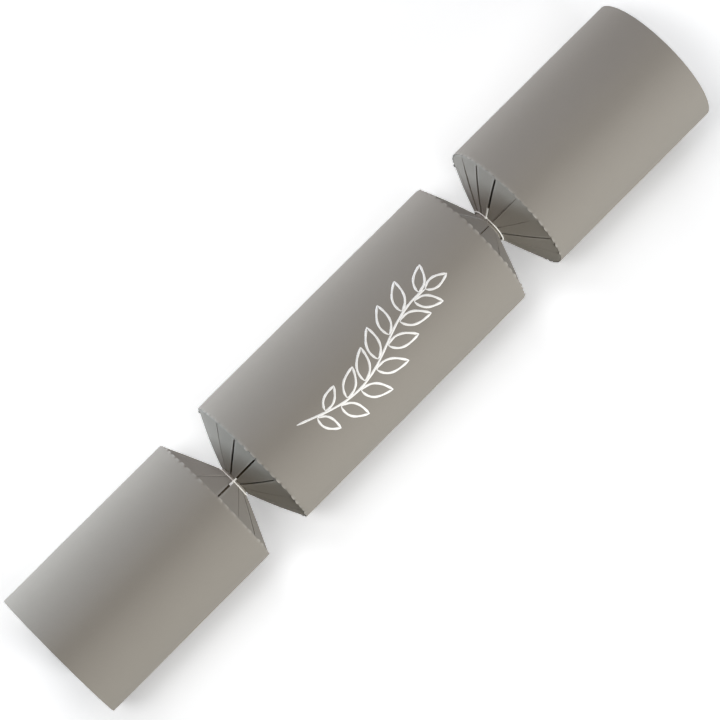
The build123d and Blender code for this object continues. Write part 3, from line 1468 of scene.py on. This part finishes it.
@dataclass
class Sprig:
    """A leafy sprig drawn by hand in white paint along the middle barrel."""

    barrel: Barrel
    start: float = -37.0 * MM
    stop: float = 28.0 * MM
    offset: float = 4.0 * MM
    sway: float = 4.5 * MM
    sway_waves: float = 0.9
    sway_start: float = 0.08
    stem_steps: int = 60
    pairs: int = 7
    first_pair: float = 0.1
    last_pair: float = 0.9
    pair_stagger: float = 0.05
    top_leaf: float = 0.985
    top_size: float = 0.75
    least_size: float = 0.72
    far_size: float = 0.95
    size_vary: tuple[float, float] = (0.93, 1.05)
    leaf_length: float = 12.5 * MM
    leaf_width: float = 2.5 * MM
    leaf_lean: float = math.radians(46.0)
    leaf_stalk: float = 0.9 * MM
    leaf_belly: float = 0.8
    leaf_steps: int = 18
    stroke: float = 0.95 * MM
    stroke_tip: float = 0.35
    tip_steps: float = 2.0
    press: float = 0.1
    press_step: float = 0.9
    paint: float = 0.06 * MM
    bead: tuple[tuple[float, float], ...] = (
        (-1.0, -0.4),
        (-0.8, 0.7),
        (0.0, 1.0),
        (0.8, 0.7),
        (1.0, -0.4),
    )
    look_ahead: float = 0.01
    seed: int = 21

    def stem(self, share: float) -> Vector:
        """Give a place on the stem.

        Args:
            share: The share of the stem's length.

        Returns:
            The place, along and round the barrel.
        """
        x = self.start + (self.stop - self.start) * share
        swing = math.sin(2.0 * math.pi * (self.sway_waves * share - self.sway_start))
        return Vector((x, self.offset + self.sway * swing))

    def leaf(self, share: float, hand: float, size: float) -> list[list[Vector]]:
        """Draw the two edges of a leaf.

        Args:
            share: Where the leaf leaves the stem.
            hand: 1 or -1 for the side that it grows on, or 0 for the leaf at the stem's tip.
            size: Its size against a full leaf.

        Returns:
            The two strokes.
        """
        root = self.stem(share)
        ahead = (self.stem(share + self.look_ahead) - root).normalized()
        turn = Matrix.Rotation(hand * self.leaf_lean, 2)
        way = turn @ ahead
        across = Vector((-way.y, way.x))
        strokes = []
        for edge in (-1.0, 1.0):
            stroke = []
            for number in range(self.leaf_steps + 1):
                along = number / self.leaf_steps
                belly = math.sin(math.pi * along**self.leaf_belly) * self.leaf_width * size * edge
                reach = self.leaf_stalk + self.leaf_length * size * along
                stroke.append(root + way * reach + across * belly)
            strokes.append(stroke)
        return strokes

    def strokes(self) -> list[list[Vector]]:
        """Draw the whole sprig.

        Returns:
            Its strokes, along and round the barrel.
        """
        chance = random.Random(self.seed)
        drawn = [[self.stem(number / self.stem_steps) for number in range(self.stem_steps + 1)]]
        for pair in range(self.pairs):
            share = self.first_pair + (self.last_pair - self.first_pair) * pair / (self.pairs - 1.0)
            size = self.least_size + (1.0 - self.least_size) * math.sin(math.pi * share)
            size *= chance.uniform(*self.size_vary)
            drawn += self.leaf(share, 1.0, size)
            drawn += self.leaf(share + self.pair_stagger, -1.0, size * self.far_size)
        drawn += self.leaf(self.top_leaf, 0.0, self.top_size)
        return drawn

    def build(self) -> bpy.types.Object:
        """Lay the strokes of paint on the card and join them to the frame.

        Returns:
            The painted sprig.
        """
        paint = Surface()
        for stroke in self.strokes():
            self.lay(paint, stroke)
        piece = paint.build("painted_sprig", PAINT)
        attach(piece, self.barrel.body)
        LOG.info("%s rides on %s", piece.name, self.barrel.body)
        return piece

    def lay(self, paint: Surface, stroke: Sequence[Vector]) -> None:
        """Lay one stroke as a low bead of paint with round ends.

        Args:
            paint: The surface that takes it.
            stroke: Its middle line, along and round the barrel.
        """
        rings = []
        last = len(stroke) - 1
        for number, spot in enumerate(stroke):
            before = stroke[max(number - 1, 0)]
            after = stroke[min(number + 1, last)]
            ahead = (after - before).normalized()
            across = Vector((-ahead.y, ahead.x))
            full = min(min(number, last - number) / self.tip_steps, 1.0)
            tip = self.stroke_tip + (1.0 - self.stroke_tip) * full
            pressed = 1.0 - self.press + self.press * math.sin(number * self.press_step)
            half = self.stroke / 2.0 * tip * pressed
            ring = []
            for side, height in self.bead:
                place = spot + across * side * half
                turn = place.y / self.barrel.radius
                ring.append(paint.point(self.barrel.skin(place.x, turn, height * self.paint)))
            rings.append(ring)
        for first, second in zip(rings, rings[1:]):
            paint.strip(first, second, closed=True)
        paint.faces.append(tuple(reversed(rings[0])))
        paint.faces.append(tuple(rings[-1]))


# The studio


class Falls(Enum):
    """What a lamp's light falls on, by the floor's state among the lamp's receivers."""

    CRACKER = "EXCLUDE"
    FLOOR = "INCLUDE"


@dataclass(frozen=True)
class Lamp:
    """A soft box that faces the cracker and lights either the cracker or the floor under it."""

    name: str
    falls: Falls
    place: Vector
    width: float
    height: float
    power: float
    colour: Colour = (0.985, 0.99, 1.0)
    aim_share: float = 0.3
    aim_height: float = 0.03

    def build(self, floor: bpy.types.Object) -> None:
        """Set up the lamp.

        Args:
            floor: The floor that the cracker rests on.
        """
        light = bpy.data.lights.new(self.name, "AREA")
        light.shape = "RECTANGLE"
        light.size = self.width
        light.size_y = self.height
        light.energy = self.power
        light.color = self.colour
        lamp = bpy.data.objects.new(self.name, light)
        lamp.location = self.place
        aim = Vector((self.place.x * self.aim_share, 0.0, self.aim_height)) - self.place
        lamp.rotation_euler = aim.to_track_quat("-Z", "Y").to_euler()
        lamp.visible_camera = False
        receivers = bpy.data.collections.new(self.name)
        receivers.objects.link(floor)
        receivers.collection_objects[0].light_linking.link_state = self.falls.value
        lamp.light_linking.receiver_collection = receivers
        bpy.context.scene.collection.objects.link(lamp)
        LOG.info("%s lights the %s", self.name, self.falls.name.lower())


@dataclass
class Studio:
    """The floor, the light and the camera."""

    axis: float
    floor_size: float = 0.76
    ambient: float = 0.01
    camera_distance: float = 0.966
    camera_tilt: float = math.radians(7.0)
    focal_pixels: float = 2730.0
    target: tuple[float, float] = (-2.29 * MM, -1.3 * MM)
    lamps: tuple[Lamp, ...] = (
        Lamp("low_window", Falls.CRACKER, Vector((-0.35, 0.35, 0.06)), 0.3, 0.1, 2.1, (0.794, 0.912, 1.0)),
        Lamp("low_back", Falls.CRACKER, Vector((0.0, 0.616, 0.07)), 0.3, 0.13, 2.12, (0.966, 0.944, 1.0)),
        Lamp("overhead", Falls.CRACKER, Vector((0.0, 0.376, 1.034)), 0.3, 0.35, 2.1, (1.0, 0.885, 0.745)),
        Lamp("near_key", Falls.CRACKER, Vector((0.28, -0.72, 0.7)), 0.35, 0.35, 7.1, (0.907, 0.931, 1.0)),
        Lamp("near_fill", Falls.CRACKER, Vector((0.0, -0.906, 0.423)), 0.4, 0.3, 4.25, (1.0, 0.968, 0.797)),
        Lamp("floor_back", Falls.FLOOR, Vector((0.0, 0.616, 0.07)), 0.3, 0.13, 2.86),
        Lamp("floor_far", Falls.FLOOR, Vector((0.4, 0.616, 0.07)), 0.4, 0.13, 2.27),
        Lamp("floor_high", Falls.FLOOR, Vector((0.0, 0.55, 0.953)), 0.3, 0.35, 1.15),
        Lamp("floor_left", Falls.FLOOR, Vector((-0.4, 0.229, 1.076)), 0.3, 0.4, 2.52),
        Lamp("floor_ceiling", Falls.FLOOR, Vector((0.0, 0.0, 1.2)), 1.6, 1.2, 4.72),
        Lamp("floor_low", Falls.FLOOR, Vector((0.0, -0.616, 0.07)), 0.3, 0.13, 0.8),
        Lamp("floor_near", Falls.FLOOR, Vector((0.0, -0.906, 0.423)), 0.4, 0.3, 3.6),
    )

    def build(self) -> None:
        """Set up the whole studio."""
        floor = self.floor()
        self.sky()
        for lamp in self.lamps:
            lamp.build(floor)
        self.camera()
        bpy.context.scene.view_settings.view_transform = "Standard"

    def floor(self) -> bpy.types.Object:
        """Lay the floor that the cracker rests on.

        Returns:
            The floor.
        """
        half = self.floor_size / 2.0
        ground = Surface()
        for row in range(2):
            for column in range(2):
                ground.point(Vector(((2 * column - 1) * half, (2 * row - 1) * half, 0.0)))
        ground.faces.append((0, 1, 3, 2))
        floor = ground.build("studio_floor", FLOOR)
        return floor

    def sky(self) -> None:
        """Fill the studio with even light, behind which the camera sees white."""
        world = bpy.data.worlds.new("studio")
        world.use_nodes = True
        graph = Graph(world.node_tree)
        level = self.ambient + (1.0 - self.ambient) * graph.camera_rays()
        white = (1.0, 1.0, 1.0, 1.0)
        light = graph.node("ShaderNodeBackground", {}, {"Color": white, "Strength": level})
        graph.node("ShaderNodeOutputWorld", {}, {"Surface": light.outputs[0]})
        bpy.context.scene.world = world

    def camera(self) -> None:
        """Stand the camera almost overhead, with the cracker lying across the picture's diagonal."""
        lens = bpy.data.cameras.new("camera")
        lens.sensor_width = SENSOR
        lens.lens = self.focal_pixels / PHOTO_WIDTH * SENSOR
        camera = bpy.data.objects.new("camera", lens)
        ahead = Vector((math.sin(self.camera_tilt), 0.0, -math.cos(self.camera_tilt)))
        along = Vector((math.cos(self.camera_tilt), 0.0, math.sin(self.camera_tilt)))
        up = (along + Vector((0.0, 1.0, 0.0))).normalized()
        right = ahead.cross(up)
        place = Vector((*self.target, self.axis)) - ahead * self.camera_distance
        turn = Matrix((right, up, -ahead)).transposed()
        camera.matrix_world = Matrix.Translation(place) @ turn.to_4x4()
        bpy.context.scene.collection.objects.link(camera)
        bpy.context.scene.camera = camera


def open_slits(dots: Sequence[str] = (), **widths: float) -> dict[int, Slit]:
    """Name slits that stand open, counted from the top one.

    Args:
        dots: The slits whose ends are punched through at the crease.
        widths: Each slit's width in millimetres, by a letter for its side, n for +Y or p for -Y, and
            its count.

    Returns:
        The slits by their signed count.
    """
    signs = {"n": -1, "p": 1}
    slits = {}
    for name, width in widths.items():
        slits[signs[name[0]] * int(name[1:])] = Slit(width * MM, dot=name in dots)
    return slits


def main() -> None:
    """Build the cracker and its studio."""
    logging.basicConfig(level=logging.INFO, format="%(message)s")
    left = Barrel("left_end_barrel", "left_end", (False, True), seed=3)
    middle = Barrel("centre_barrel", "centre", (True, True), seed=14)
    right = Barrel("right_end_barrel", "right_end", (True, False), seed=29)
    for barrel in (left, middle, right):
        barrel.build()
    for node in ("left_end_seam_tape", "centre_seam_tape", "right_end_seam_tape"):
        dress(node, TAPE)
    Neck(
        Side.LEFT,
        middle,
        left,
        inner_slits=open_slits(["p0"], n2=0.45, n1=1.0, p0=0.8, p1=0.85, p3=0.5),
        outer_slits=open_slits(["n1", "p2"], p0=0.85, n1=0.3, p1=0.2, p2=1.15, n3=0.3),
        knot_slit=0,
        tail_back=1.5 * MM,
        tail_length=6.2 * MM,
        seed=41,
    ).build()
    Neck(
        Side.RIGHT,
        middle,
        right,
        inner_slits=open_slits(n1=0.8, p0=0.35, p1=0.35, p2=1.0),
        outer_slits=open_slits(n3=0.3, n2=1.1, n1=1.1, p0=0.2, p1=0.08, p2=0.8),
        knot_slit=-1,
        tail_back=0.5 * MM,
        tail_length=5.2 * MM,
        seed=57,
    ).build()
    Snap().build()
    Contents().build()
    Sprig(middle).build()
    Studio(middle.axis).build()


if __name__ == "__main__":
    main()
